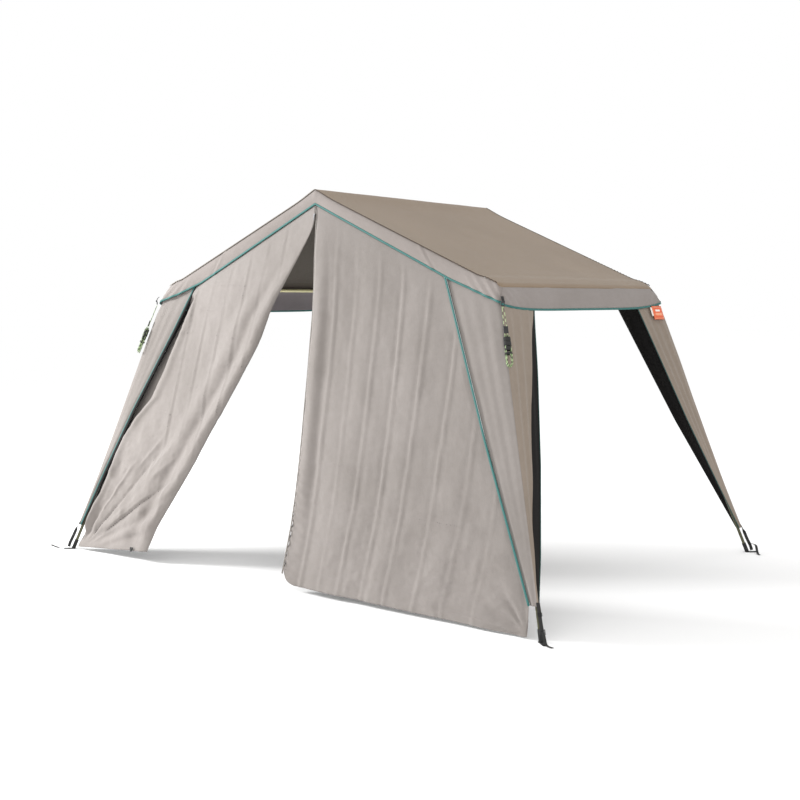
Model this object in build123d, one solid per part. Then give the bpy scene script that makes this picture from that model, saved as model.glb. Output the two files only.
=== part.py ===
from build123d import *
import math
import os

# Camping screen house: gable roof on four splayed telescopic legs, corner wings,
# and a split front curtain.  Millimetres.  Origin on the ground under the middle
# of the roof, +Z up, the curtain front faces -Y.

os.makedirs("parts", exist_ok=True)

# ---------------------------------------------------------------- dimensions
RIDGE_Z = 2656.0          # top of the roof fabric at the ridge
SLOPE = 0.437             # roof fall per unit of width
EAVE_X = 1503.0           # half width of the roof fabric
ROOF_Y = 1052.0           # half length of the roof fabric
CLOTH = 2.0               # fabric thickness
TUBE_R, TUBE_RI = 12.5, 11.3      # 25 mm pole, 1.2 mm wall
INNER_R, INNER_RI = 11.0, 9.8     # 22 mm inner pole, 0.3 mm play in the outer one
POLE_DROP = 24.0          # pole centre below the fabric, measured straight down
POLE_X, POLE_Y = 1462.0, 1000.0   # corner bracket centre, half spacing
PIN_Z = 1955.0            # leg hinge pin height
FOOT_X, FOOT_Y = 2093.0, 1525.0   # foot, half spacing on the ground
PIN_R, PIN_BORE = 4.0, 4.05
SLEEVE_R, SLEEVE_BORE = 16.5, 12.6
UPPER_END, LOWER_START = 1150.0, 1000.0   # distances down the leg from the pin
VAL_PEAK_Z, VAL_KNEE_X, VAL_KNEE_Z, VAL_CORNER_Z = 2575.0, 1130.0, 2050.0, 1911.0
PIPE_R = 4.0
ROPE_D = 3.5

CORNERS = {"front_left": (-1, -1), "front_right": (1, -1),
           "back_left": (-1, 1), "back_right": (1, 1)}


def V(*p):
    return Vector(*p)


def save(name, solids):
    solids = solids if isinstance(solids, list) else [solids]
    flat = []
    for s in solids:
        flat.extend(s.solids())
    shape = flat[0] if len(flat) == 1 else Compound(children=flat)
    export_step(shape, "parts/" + name + ".step")


def rod(a, b, r, ri=0.0):
    """Round bar or tube from a to b."""
    a, b = V(*a), V(*b)
    d = b - a
    pl = Plane(origin=a, z_dir=d.normalized())
    prof = Circle(r) - Circle(ri) if ri else Circle(r)
    return extrude(pl * prof, amount=d.length)


def sheet(grid, thick):
    """Closed solid of cloth: rows of points on one face, moved by thick for the other."""
    t = V(*thick)
    n, m = len(grid), len(grid[0])
    top = [[V(*p) for p in row] for row in grid]
    bot = [[p + t for p in row] for row in top]
    faces = []

    def tri(a, b, c):
        faces.append(Face(Wire.make_polygon([a, b, c], close=True)))

    def quad(a, b, c, d):
        tri(a, b, c)
        tri(a, c, d)
    for i in range(n - 1):
        for j in range(m - 1):
            quad(top[i][j], top[i][j + 1], top[i + 1][j + 1], top[i + 1][j])
            quad(bot[i][j], bot[i + 1][j], bot[i + 1][j + 1], bot[i][j + 1])
    ring = ([(0, j) for j in range(m)] + [(i, m - 1) for i in range(1, n)]
            + [(n - 1, j) for j in range(m - 2, -1, -1)] + [(i, 0) for i in range(n - 2, 0, -1)])
    for k in range(len(ring)):
        a, b = ring[k], ring[(k + 1) % len(ring)]
        quad(top[a[0]][a[1]], bot[a[0]][a[1]], bot[b[0]][b[1]], top[b[0]][b[1]])
    s = Solid(Shell(faces))
    if s.volume < 0:
        s = Solid(s.wrapped.Reversed())
    return s


def interp(pts, z):
    """Piecewise straight line through (value, z) pairs, z falling."""
    if z >= pts[0][1]:
        return pts[0][0]
    for (v0, z0), (v1, z1) in zip(pts, pts[1:]):
        if z >= z1:
            return v0 + (v1 - v0) * (z0 - z) / (z0 - z1)
    return pts[-1][0]


def front_y(z):           # distance of the sloping front and back cloth from the middle
    return 1545.0 - 0.2654 * z


def side_x(z):            # distance of the sloping side cloth from the middle
    return 2113.0 - 0.3253 * z


# ---------------------------------------------------------------- roof frame
def pole_z(x):
    return RIDGE_Z - POLE_DROP - SLOPE * abs(x)


hub_z = pole_z(0)
br_z = pole_z(POLE_X)
up = V(-POLE_X, 0, hub_z - br_z).normalized()     # up the right-hand rafter


def socket(c, d, depth=75.0):
    """Sleeve around a pole end that starts 20 mm from the centre c."""
    c, d = V(*c), V(*d).normalized()
    s = rod(c + d * 6, c + d * depth, SLEEVE_R)
    return s, rod(c + d * 20, c + d * (depth + 1), SLEEVE_BORE)


save("ridge_pole", rod((0, -POLE_Y + 20, hub_z), (0, POLE_Y - 20, hub_z), TUBE_R, TUBE_RI))
for end, sy in (("front", -1), ("back", 1)):
    c = (0, sy * POLE_Y, hub_z)
    body = Pos(*c) * Sphere(18.5)
    cuts = []
    for d in ((POLE_X, 0, br_z - hub_z), (-POLE_X, 0, br_z - hub_z), (0, -sy, 0)):
        a, b = socket(c, d)
        body = body + a
        cuts.append(b)
    for b in cuts:
        body = body - b
    save("ridge_hub_" + end, body)

for side, sx in (("left", -1), ("right", 1)):
    save("eave_bar_" + side, rod((sx * POLE_X, -POLE_Y + 20, br_z), (sx * POLE_X, POLE_Y - 20, br_z), TUBE_R, TUBE_RI))

pins = []
for corner, (sx, sy) in CORNERS.items():
    B = V(sx * POLE_X, sy * POLE_Y, br_z)
    H = V(0, sy * POLE_Y, hub_z)
    u = (H - B).normalized()
    save("rafter_" + corner, rod(B + u * 20, H - u * 20, TUBE_R, TUBE_RI))

    P = V(sx * POLE_X, sy * POLE_Y, PIN_Z)
    G = V(sx * FOOT_X, sy * FOOT_Y, 0)
    L = (G - P).length
    d = (G - P).normalized()
    a = V(0, -d.Z, d.Y).normalized()              # hinge axis, square to the leg and to X
    pl = Plane(origin=P, x_dir=(1, 0, 0), z_dir=a)

    # corner bracket: ball, two sockets and a fork for the leg
    body = Pos(*B) * Sphere(18.5)
    cuts = []
    for dd in (u, V(0, -sy, 0)):
        s, c2 = socket(B, dd)
        body = body + s
        cuts.append(c2)
    up_sign = 1 if pl.y_dir.Z > 0 else -1
    for z0 in (-22.0, 16.0):
        cheek = Circle(14) + Pos(0, up_sign * 17) * Rectangle(28, 34)
        body = body + pl * (Pos(0, 0, z0) * extrude(cheek, amount=6))
    body = body + pl * (Pos(0, up_sign * 27, 0) * Box(28, 14, 44))
    body = body - pl * Cylinder(PIN_BORE, 60)
    for c2 in cuts:
        body = body - c2
    save("corner_bracket_" + corner, body)
    pins.append(pl * Cylinder(PIN_R, 45) + pl * (Pos(0, 0, 23.5) * Cylinder(7, 2)) + pl * (Pos(0, 0, -23.5) * Cylinder(7, 2)))

    # upper leg: eye, tongue and 25 mm tube
    eye = pl * Cylinder(12, 31)
    tongue = rod(P, P + d * 60, 9)
    tube = rod(P + d * 42, P + d * UPPER_END, TUBE_R)
    core = rod(P + d * 60, P + d * (UPPER_END + 1), TUBE_RI)
    save("upper_leg_" + corner, eye + tongue + tube - core - pl * Cylinder(PIN_BORE, 60))

    # clamp collar at the lower end of the upper leg, with the cam lever's rivet
    inward = V(-sx * 1.0, -sy * 1.0, 0)
    n = (inward - d * inward.dot(d)).normalized()
    tdir = d.cross(n).normalized()
    s0, s1 = UPPER_END - 30, UPPER_END + 34
    col = rod(P + d * s0, P + d * s1, 15.5)
    piv = P + d * (s0 + 10) + n * 27
    for k in (-1, 1):
        base = piv + tdir * (k * 7.2)
        col = col + rod(base, base + tdir * (k * 4), 7)
        web = Plane(origin=piv + tdir * (k * 9.2) - n * 9, x_dir=d, z_dir=tdir)
        col = col + web * Box(12, 16, 4)
    col = col - rod(P + d * (s0 - 1), P + d * UPPER_END, SLEEVE_BORE) - rod(P + d * (UPPER_END - 1), P + d * (s1 + 1), INNER_R + 0.3)
    rivet = rod(piv - tdir * 12.5, piv + tdir * 12.5, 2.0)
    col = col - rod(piv - tdir * 14, piv + tdir * 14, 2.02)
    save("leg_collar_" + corner, [col, rivet])

    # cam lever: eye and a blade that lies down the collar when shut
    lev = rod(piv - tdir * 6.5, piv + tdir * 6.5, 5.5)
    blade = Plane(origin=piv + d * 27 + n * 0.5, x_dir=d, z_dir=n)
    lev = lev + blade * Box(50, 13, 6) - rod(piv - tdir * 20, piv + tdir * 20, 2.06)
    save("cam_lever_" + corner, lev)

    # lower leg, foot boot with a flat sole and a peg tab
    save("lower_leg_" + corner, rod(P + d * LOWER_START, P + d * (L - 24), INNER_R, INNER_RI))
    big = Pos(G.X, G.Y, 500) * Box(400, 400, 1000)
    boot = rod(P + d * (L - 75), P + d * (L + 20), 14.5) & big
    o = V(sx * 0.77, sy * 0.64, 0)
    tabp = Plane(origin=V(G.X, G.Y, 2.5) + o * 27, x_dir=o, z_dir=(0, 0, 1))
    boot = boot + tabp * Box(84, 30, 5)
    boot = boot - rod(P + d * (L - 76), P + d * (L - 24), INNER_R + 0.02)
    hole = V(G.X, G.Y, 0) + o * 57
    boot = boot - rod(hole - V(0, 0, 1), hole + V(0, 0, 6), 6.0)
    save("foot_boot_" + corner, boot)
    print(corner, "leg", round(L, 2), "d", [round(v, 5) for v in d], "axis", [round(v, 5) for v in a],
          "lever pivot", [round(v, 2) for v in piv], "lever axis", [round(v, 5) for v in tdir], "hole", [round(v, 2) for v in hole])

    # webbing strap from the wing's tip to the peg tab, its buckle and loose tail
    w = V(-o.Y, o.X, 0)
    top = V(sx * (side_x(172) - 2), sy * (front_y(172) - 2), 172) + o * 6
    bot = V(G.X, G.Y, 14) + o * 36
    run = [[top + w * -12.5, top + w * 12.5], [bot + w * -12.5, bot + w * 12.5]]
    strap = sheet(run, o * 2)
    mid = top + (bot - top) * 0.62 + o * 7
    bk = Plane(origin=mid, x_dir=w, z_dir=o)
    buckle = bk * Box(34, 24, 6)
    tail_end = V(sx * 2262, sy * 1596, 3)
    a0 = V(G.X, G.Y, 9.5) + o * 30 + w * (-14 * sx * sy)
    dirt = (V(tail_end.X, tail_end.Y, 0) - V(a0.X, a0.Y, 0)).normalized()
    wt = V(-dirt.Y, dirt.X, 0)
    tail = sheet([[a0 + wt * -10, a0 + wt * 10], [tail_end + wt * -8, tail_end + wt * 8]], (0, 0, -2))
    save("foot_strap_" + corner, [strap, buckle, tail])

    # corner wing: one panel on the gable side, one on the long side
    if corner == "front_right":
        inner = [(1078, 2080), (1549, 1082), (1985, 217), (1999, 190)]
    elif corner == "front_left":
        inner = [(1200, 2045), (1706, 1079), (2032, 190)]
    else:
        inner = [(1215, 1990), (1233, 1900), (1600, 1001), (2008, 190)]
    zs = [0.0, 0.12, 0.3, 0.5, 0.7, 0.88, 1.0]
    rows = []
    z_in, z_out = inner[0][1], PIN_Z
    y_top = 1034.0                                # the panel's top edge lies flat behind the valance
    for f in zs:
        zi = z_in + (190 - z_in) * f
        zo = z_out + (190 - z_out) * f
        xi, xo = interp(inner, zi), side_x(zo) - 0.6
        yi = y_top + (front_y(190) - y_top) * f
        rows.append([(sx * xi, sy * yi, zi), (sx * xo, sy * front_y(zo), zo)])
    gable_panel = sheet(rows, (0, sy * CLOTH, 0))
    free = [(735, 1955), (745, 1867), (1072, 1030), (1447, 218), (1458, 190)]
    rows = []
    for f in zs:
        z = PIN_Z + (190 - PIN_Z) * f
        rows.append([(sx * side_x(z), sy * interp(free, z), z), (sx * side_x(z), sy * (front_y(z) - 0.6), z)])
    side_panel = sheet(rows, (sx * CLOTH, 0, 0))
    save("corner_wing_" + corner, [gable_panel, side_panel])
save("hinge_pins", pins)

# ---------------------------------------------------------------- roof fabric
zt, ze = RIDGE_Z, RIDGE_Z - SLOPE * EAVE_X
under = CLOTH / math.cos(math.atan(SLOPE))


def xz_panel(pts, y0, y1):
    face = make_face(Plane.XZ * Polyline(*[(x, z) for x, z in pts], close=True))
    return Pos(0, y0, 0) * extrude(face, amount=y1 - y0, dir=(0, 1, 0))


roof = []
for sx in (-1, 1):
    roof.append(xz_panel([(0, zt), (sx * EAVE_X, ze), (sx * EAVE_X, ze - under), (0, zt - under)], -ROOF_Y, ROOF_Y))
save("roof_canopy", roof)

for end, sy in (("front", -1), ("back", 1)):
    y0, y1 = (-ROOF_Y, -ROOF_Y + CLOTH) if sy < 0 else (ROOF_Y - CLOTH, ROOF_Y)
    halves = [xz_panel([(0, zt - under), (sx * EAVE_X, ze - under), (sx * EAVE_X, VAL_CORNER_Z),
                        (sx * VAL_KNEE_X, VAL_KNEE_Z), (0, VAL_PEAK_Z)], y0, y1) for sx in (-1, 1)]
    save("valance_" + end, halves)
for side, sx in (("left", -1), ("right", 1)):
    x = sx * (EAVE_X - CLOTH / 2)
    h = ze - under - VAL_CORNER_Z
    save("valance_" + side, Pos(x, 0, VAL_CORNER_Z + h / 2) * Box(CLOTH, 2 * (ROOF_Y - CLOTH) - 0.4, h))

pipes = []
pz = VAL_CORNER_Z - PIPE_R - 0.1
for sy in (-1, 1):
    y = sy * (ROOF_Y - CLOTH / 2)
    for sx in (-1, 1):
        p0 = (sx * (EAVE_X - 1), y, VAL_CORNER_Z - 4.6)
        p1 = (sx * VAL_KNEE_X, y, VAL_KNEE_Z - 4.6)
        p2 = (sx * 2.5, y, VAL_PEAK_Z - 5.8)
        pipes.append(rod(p0, p1, PIPE_R) + rod(p1, p2, PIPE_R) + Pos(*p1) * Sphere(PIPE_R))
for sx in (-1, 1):
    x = sx * (EAVE_X - CLOTH / 2)
    pipes.append(rod((x, -ROOF_Y + 8, pz), (x, ROOF_Y - 8, pz), PIPE_R))
save("valance_piping", pipes)

# blank label on the back right side wing
lab = [[(side_x(z) + 2.3, y, z) for y in (918, 1062)] for z in (1872, 1770)]
save("label_patch", sheet(lab, (1.2, 0, 0)))

# ---------------------------------------------------------------- curtains
HINGE_Y = -1044.0
hz = lambda x: VAL_PEAK_Z - 10 - (VAL_PEAK_Z - VAL_KNEE_Z) / VAL_KNEE_X * abs(x)


def curtain(inner, outer, ncol):
    """inner and outer edges as equal lists of points, top to bottom."""
    rows = []
    for a, b in zip(inner, outer):
        rows.append([tuple(a[k] + (b[k] - a[k]) * j / ncol for k in range(3)) for j in range(ncol + 1)])
    return sheet(rows, (0, CLOTH, 0))


# right curtain: hangs straight from the middle, its inner edge carries the zip
ZIP_TOP, ZIP_BOT = V(6, HINGE_Y, hz(6)), V(113, -1512, 95)
inner, outer = [], []
right_edge = [(1066, 2069), (1540, 1082), (1976, 217), (1996, 14)]
fr = [0, 0.2, 0.4, 0.6, 0.8, 0.93, 1.0]
for f in fr:
    p = ZIP_TOP + (ZIP_BOT - ZIP_TOP) * f
    inner.append((p.X, p.Y, p.Z))
    z = hz(1066) + (14 - hz(1066)) * f
    x = interp([(x, zz) for x, zz in right_edge], z)
    y = HINGE_Y + (-1522 - HINGE_Y) * f
    outer.append((x, y, z))
# the hem's inner corner is cut round, so the lowest row starts further in
body_rows_inner, body_rows_outer = list(inner), list(outer)
body_rows_inner.append((250, -1522, 34))
body_rows_outer.append((1998, -1523, 12))
save("curtain_right", curtain(body_rows_inner, body_rows_outer, 6))

zd = (ZIP_BOT - ZIP_TOP).normalized()
tape = sheet([[ZIP_TOP + V(-12, 0, 0) + zd * 8, ZIP_TOP + V(-0.4, 0, 0) + zd * 8],
              [ZIP_BOT + V(-12, 0, 0), ZIP_BOT + V(-0.4, 0, 0)]], (0, CLOTH, 0))
save("zip_tape", tape)
sc = ZIP_TOP + zd * 70 + V(-6, -4.2, 0)
spl = Plane(origin=sc, x_dir=(1, 0, 0), z_dir=zd)
body = spl * Box(12, 6, 16)
tabz = spl * (Pos(0, -5.0 if spl.y_dir.Y > 0 else 5.0, 16) * Box(7, 2, 36))
save("zip_slider", [body, tabz])
print("zip dir", [round(v, 6) for v in zd], "travel to bottom", round((ZIP_BOT - ZIP_TOP).length, 1))

# left curtain: drawn aside, its inner edge sweeps to the left foot
li = [(-6, hz(6)), (-10, 2415), (-293, 1862), (-374, 1605), (-872, 740), (-1240, 100), (-1258, 60)]
lo = [(1190, 2030), (1694, 1079), (2022, 190), (2040, 32)]
inner, outer = [], []
for f in [0, 0.059, 0.28, 0.382, 0.55, 0.728, 0.9, 1.0]:
    z = hz(6) + (60 - hz(6)) * f
    x = interp(li, z)
    y = HINGE_Y + (-1512 - HINGE_Y) * (hz(6) - z) / (hz(6) - 60)
    inner.append((x, y, z))
    z2 = hz(1190) + (32 - hz(1190)) * f
    y2 = HINGE_Y + (-1520 - HINGE_Y) * f
    outer.append((-interp(lo, z2), y2, z2))
inner[0] = (-8, HINGE_Y, hz(8))
outer[0] = (-1185, HINGE_Y, hz(1185))
save("curtain_left", curtain(inner, outer, 5))

# ---------------------------------------------------------------- guy ropes
rings = []
for side, sx in (("left", -1), ("right", 1)):
    o = V(sx * 0.77, -0.64, 0)
    w = V(-o.Y, o.X, 0)
    R = V(sx * 1524, -1068, 1893)
    ring = Plane(origin=R, x_dir=w, z_dir=o) * Torus(11, 2.5)
    tab = Plane(origin=R + V(0, 0, 27.5) - o * 1, x_dir=w, z_dir=o) * Box(20, 26, 2.4)
    rings += [ring, tab]
    e = V(sx * 621, -503, -1955).normalized()      # down the corner edge
    S0 = R - V(0, 0, 17)

    def route(k):
        """Strand k = -1 or 1: from the ring down to the top of the hank."""
        q = [S0 + w * (k * 3), S0 + e * 40 + w * (k * 8) + o * 3, S0 + e * 86 + w * (k * 6) + o * 1,
             S0 + e * 130 + w * (k * 9) + o * 4, S0 + e * 168 + w * (k * 7) + o * 3]
        return q
    tubes = []
    for k in (-1, 1):
        q = route(k)
        radii = []
        for i in range(1, len(q) - 1):
            v0, v1 = q[i] - q[i - 1], q[i + 1] - q[i]
            turn = math.radians(v0.get_angle(v1))
            radii.append(0.45 * min(v0.length, v1.length) / math.tan(turn / 2))
        line = FilletPolyline(*q, radius=radii)
        t = sweep(Plane(origin=line @ 0, z_dir=line % 0) * Circle(ROPE_D / 2), path=line)
        tubes.append(t)
        print("rope", side, k, "radii", [round(r) for r in radii], "len", round(line.length, 1),
              "vol ratio", round(t.volume / (math.pi * (ROPE_D / 2) ** 2 * line.length), 4))
    save("guy_rope_" + side, tubes)
    hc = S0 + e * (168 + 1 + 110) + o * 4
    hp = Plane(origin=hc, x_dir=w, z_dir=e)
    hank = hp * Box(50, 26, 218)
    hank = fillet(hank.edges(), 8)
    save("guy_hank_" + side, hank)
    rp = Plane(origin=hc - e * 60 + o * 19.5, x_dir=w, z_dir=e)
    save("guy_runner_" + side, fillet((rp * Box(30, 8, 46)).edges(), 2))
    print("guy", side, "ring", [round(v, 1) for v in R], "S0", [round(v, 2) for v in S0], "e", [round(v, 5) for v in e],
          "hank centre", [round(v, 2) for v in hc])
save("d_rings", rings)
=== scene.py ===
import math

import bpy
import numpy as np
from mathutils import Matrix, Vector


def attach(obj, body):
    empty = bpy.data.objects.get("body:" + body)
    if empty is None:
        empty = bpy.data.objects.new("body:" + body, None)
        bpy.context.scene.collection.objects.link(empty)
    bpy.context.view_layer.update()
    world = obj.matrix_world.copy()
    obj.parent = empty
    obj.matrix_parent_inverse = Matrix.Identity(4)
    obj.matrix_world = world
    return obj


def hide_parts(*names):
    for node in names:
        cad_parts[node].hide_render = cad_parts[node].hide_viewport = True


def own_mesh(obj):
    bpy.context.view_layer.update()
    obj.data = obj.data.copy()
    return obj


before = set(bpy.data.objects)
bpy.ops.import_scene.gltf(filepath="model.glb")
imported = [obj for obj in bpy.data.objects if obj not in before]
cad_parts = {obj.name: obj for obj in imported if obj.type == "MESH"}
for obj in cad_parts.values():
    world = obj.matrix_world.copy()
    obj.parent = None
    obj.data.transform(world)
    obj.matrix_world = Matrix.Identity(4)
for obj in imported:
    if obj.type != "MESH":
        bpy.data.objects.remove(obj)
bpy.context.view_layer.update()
STEP = 0.0135          # spacing of cloth vertices


# ------------------------------------------------------------------ camera and light
cam_data = bpy.data.cameras.new("view")
cam_data.sensor_width = 36.0
cam_data.lens = 53.816
cam = bpy.data.objects.new("view", cam_data)
cam.location = (5.46713, -7.22677, 1.92187)
cam.rotation_euler = (math.radians(90 - 4.8152), 0, math.radians(37.4966))
cam_data.clip_end = 200
bpy.context.scene.collection.objects.link(cam)
bpy.context.scene.camera = cam
bpy.context.scene.view_settings.view_transform = "Standard"

world = bpy.data.worlds.new("studio")
bpy.context.scene.world = world
world.use_nodes = True
world.node_tree.nodes["Background"].inputs["Color"].default_value = (1, 1, 1, 1)
world.node_tree.nodes["Background"].inputs["Strength"].default_value = 1.0


def area_light(name, loc, target, size, power, color=(1, 1, 1)):
    d = bpy.data.lights.new(name, "AREA")
    d.shape = "RECTANGLE"
    d.size, d.size_y = size
    d.energy = power
    d.color = color
    o = bpy.data.objects.new(name, d)
    o.location = loc
    o.rotation_euler = (Vector(target) - Vector(loc)).to_track_quat("-Z", "Y").to_euler()
    bpy.context.scene.collection.objects.link(o)
    return o


area_light("key", (-8.5, -5.2, 4.6), (0, -1.0, 1.2), (2.4, 2.4), 1350)
area_light("side", (8.0, -6.0, 4.5), (0.5, 0, 1.2), (4.0, 3.0), 120, (1.0, 0.97, 0.93))


# ------------------------------------------------------------------ noise
def hash2(ix, iy, seed):
    h = (ix * 374761393 + iy * 668265263 + seed * 974634777) & 0xFFFFFFFF
    h = ((h ^ (h >> 13)) * 1274126177) & 0xFFFFFFFF
    h = h ^ (h >> 16)
    return (h & 0xFFFFFF) / float(0xFFFFFF) * 2 - 1


def vnoise(x, y, seed=0):
    x, y = np.asarray(x, float), np.asarray(y, float)
    ix, iy = np.floor(x).astype(np.int64), np.floor(y).astype(np.int64)
    fx, fy = x - ix, y - iy
    fx, fy = fx * fx * fx * (fx * (fx * 6 - 15) + 10), fy * fy * fy * (fy * (fy * 6 - 15) + 10)
    a, b = hash2(ix, iy, seed), hash2(ix + 1, iy, seed)
    c, d = hash2(ix, iy + 1, seed), hash2(ix + 1, iy + 1, seed)
    return (a * (1 - fx) + b * fx) * (1 - fy) + (c * (1 - fx) + d * fx) * fy


def fbm(x, y, seed=0, octaves=4, gain=0.5):
    out, amp, s = 0, 1.0, 0.0
    for k in range(octaves):
        out = out + amp * vnoise(x * 2 ** k + 17.3 * k, y * 2 ** k - 9.1 * k, seed + k)
        s += amp
        amp *= gain
    return out / s


def crumple(x, y, seed=0, octaves=3):
    """Sharp little ridges, as creased cloth has."""
    out, amp, s = 0, 1.0, 0.0
    for k in range(octaves):
        n = vnoise(x * 2 ** k + 3.7 * k, y * 2 ** k + 1.9 * k, seed + 31 * k)
        out = out + amp * (1 - 2 * np.abs(n))
        s += amp
        amp *= 0.55
    return out / s


def bump1(s, w):
    return np.exp(-(s / w) ** 2)


def fold(s, w):
    """A sharp crease of half width w along s = 0."""
    return np.exp(-np.abs(s) / w)


def smooth(a, b, x):
    t = np.clip((x - a) / (b - a), 0, 1)
    return t * t * (3 - 2 * t)


# ------------------------------------------------------------------ materials
def lin(r, g, b):
    return tuple(((c / 255) / 12.92 if c / 255 <= 0.04045 else ((c / 255 + 0.055) / 1.055) ** 2.4) for c in (r, g, b))


def new_mat(name):
    m = bpy.data.materials.new(name)
    m.use_nodes = True
    nt = m.node_tree
    return m, nt, nt.nodes["Principled BSDF"]


def canvas_mat(name, color, thread=0.0022, rough=0.82, spread=0.10, bump=0.35, crinkle=0.5, sheen=0.15, fleck=None):
    """Woven canvas: threads across and along, slow colour drift, faint dusty marks and a fine crinkle."""
    m, nt, bsdf = new_mat(name)
    N, L = nt.nodes, nt.links
    uv = N.new("ShaderNodeTexCoord")
    sep = N.new("ShaderNodeSeparateXYZ")
    L.new(uv.outputs["UV"], sep.inputs[0])

    def sine(out):
        mul = N.new("ShaderNodeMath"); mul.operation = "MULTIPLY"; mul.inputs[1].default_value = 2 * math.pi / thread
        L.new(out, mul.inputs[0])
        sn = N.new("ShaderNodeMath"); sn.operation = "SINE"
        L.new(mul.outputs[0], sn.inputs[0])
        return sn.outputs[0]
    warp, weft = sine(sep.outputs["X"]), sine(sep.outputs["Y"])
    mx = N.new("ShaderNodeMath"); mx.operation = "MULTIPLY"
    L.new(warp, mx.inputs[0]); L.new(weft, mx.inputs[1])
    big = N.new("ShaderNodeTexNoise"); big.inputs["Scale"].default_value = 1.7; big.inputs["Detail"].default_value = 5
    L.new(uv.outputs["Object"], big.inputs["Vector"])
    mid = N.new("ShaderNodeTexNoise"); mid.inputs["Scale"].default_value = 26; mid.inputs["Detail"].default_value = 6
    mid.inputs["Roughness"].default_value = 0.62
    L.new(uv.outputs["Object"], mid.inputs["Vector"])
    ramp = N.new("ShaderNodeValToRGB")
    c = color
    ramp.color_ramp.elements[0].position = 0.30
    ramp.color_ramp.elements[0].color = (c[0] * (1 - spread), c[1] * (1 - spread * 1.05), c[2] * (1 - spread * 1.15), 1)
    ramp.color_ramp.elements[1].position = 0.70
    ramp.color_ramp.elements[1].color = (min(1, c[0] * (1 + spread * 0.7)), min(1, c[1] * (1 + spread * 0.7)), min(1, c[2] * (1 + spread * 0.75)), 1)
    L.new(big.outputs["Fac"], ramp.inputs["Fac"])
    dirt = N.new("ShaderNodeMix"); dirt.data_type = "RGBA"; dirt.blend_type = "MULTIPLY"
    dr = N.new("ShaderNodeMapRange")
    dr.inputs["From Min"].default_value = 0.35; dr.inputs["From Max"].default_value = 0.75
    dr.inputs["To Min"].default_value = 0.0; dr.inputs["To Max"].default_value = 0.16
    L.new(mid.outputs["Fac"], dr.inputs["Value"])
    L.new(dr.outputs[0], dirt.inputs["Factor"])
    L.new(ramp.outputs["Color"], dirt.inputs["A"])
    dirt.inputs["B"].default_value = (0.62, 0.58, 0.53, 1)
    L.new(dirt.outputs["Result"], bsdf.inputs["Base Color"])
    bsdf.inputs["Roughness"].default_value = rough
    bsdf.inputs["Sheen Weight"].default_value = sheen
    bsdf.inputs["Sheen Roughness"].default_value = 0.5
    bsdf.inputs["Specular IOR Level"].default_value = 0.25
    b1 = N.new("ShaderNodeBump"); b1.inputs["Strength"].default_value = bump; b1.inputs["Distance"].default_value = 0.0004
    L.new(mx.outputs[0], b1.inputs["Height"])
    cr = N.new("ShaderNodeTexNoise"); cr.inputs["Scale"].default_value = 55; cr.inputs["Detail"].default_value = 4
    cr.inputs["Distortion"].default_value = 0.6
    L.new(uv.outputs["Object"], cr.inputs["Vector"])
    b2 = N.new("ShaderNodeBump"); b2.inputs["Strength"].default_value = crinkle; b2.inputs["Distance"].default_value = 0.0015
    L.new(cr.outputs["Fac"], b2.inputs["Height"])
    L.new(b1.outputs["Normal"], b2.inputs["Normal"])
    L.new(b2.outputs["Normal"], bsdf.inputs["Normal"])
    return m


def solid_mat(name, color, rough=0.5, metal=0.0, noise=0.12, scale=40, bump=0.2, dist=0.0006, worn=None):
    m, nt, bsdf = new_mat(name)
    N, L = nt.nodes, nt.links
    tc = N.new("ShaderNodeTexCoord")
    n = N.new("ShaderNodeTexNoise"); n.inputs["Scale"].default_value = scale; n.inputs["Detail"].default_value = 6
    L.new(tc.outputs["Object"], n.inputs["Vector"])
    r = N.new("ShaderNodeValToRGB")
    c = color
    r.color_ramp.elements[0].position = 0.3
    r.color_ramp.elements[0].color = (c[0] * (1 - noise), c[1] * (1 - noise), c[2] * (1 - noise), 1)
    r.color_ramp.elements[1].position = 0.72
    r.color_ramp.elements[1].color = (min(1, c[0] * (1 + noise)), min(1, c[1] * (1 + noise)), min(1, c[2] * (1 + noise)), 1)
    L.new(n.outputs["Fac"], r.inputs["Fac"])
    L.new(r.outputs["Color"], bsdf.inputs["Base Color"])
    mr = N.new("ShaderNodeMapRange")
    mr.inputs["To Min"].default_value = max(0.05, rough - 0.1); mr.inputs["To Max"].default_value = min(1, rough + 0.1)
    L.new(n.outputs["Fac"], mr.inputs["Value"])
    L.new(mr.outputs[0], bsdf.inputs["Roughness"])
    bsdf.inputs["Metallic"].default_value = metal
    b = N.new("ShaderNodeBump"); b.inputs["Strength"].default_value = bump; b.inputs["Distance"].default_value = dist
    n2 = N.new("ShaderNodeTexNoise"); n2.inputs["Scale"].default_value = scale * 9; n2.inputs["Detail"].default_value = 3
    L.new(tc.outputs["Object"], n2.inputs["Vector"])
    L.new(n2.outputs["Fac"], b.inputs["Height"])
    L.new(b.outputs["Normal"], bsdf.inputs["Normal"])
    return m


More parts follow.
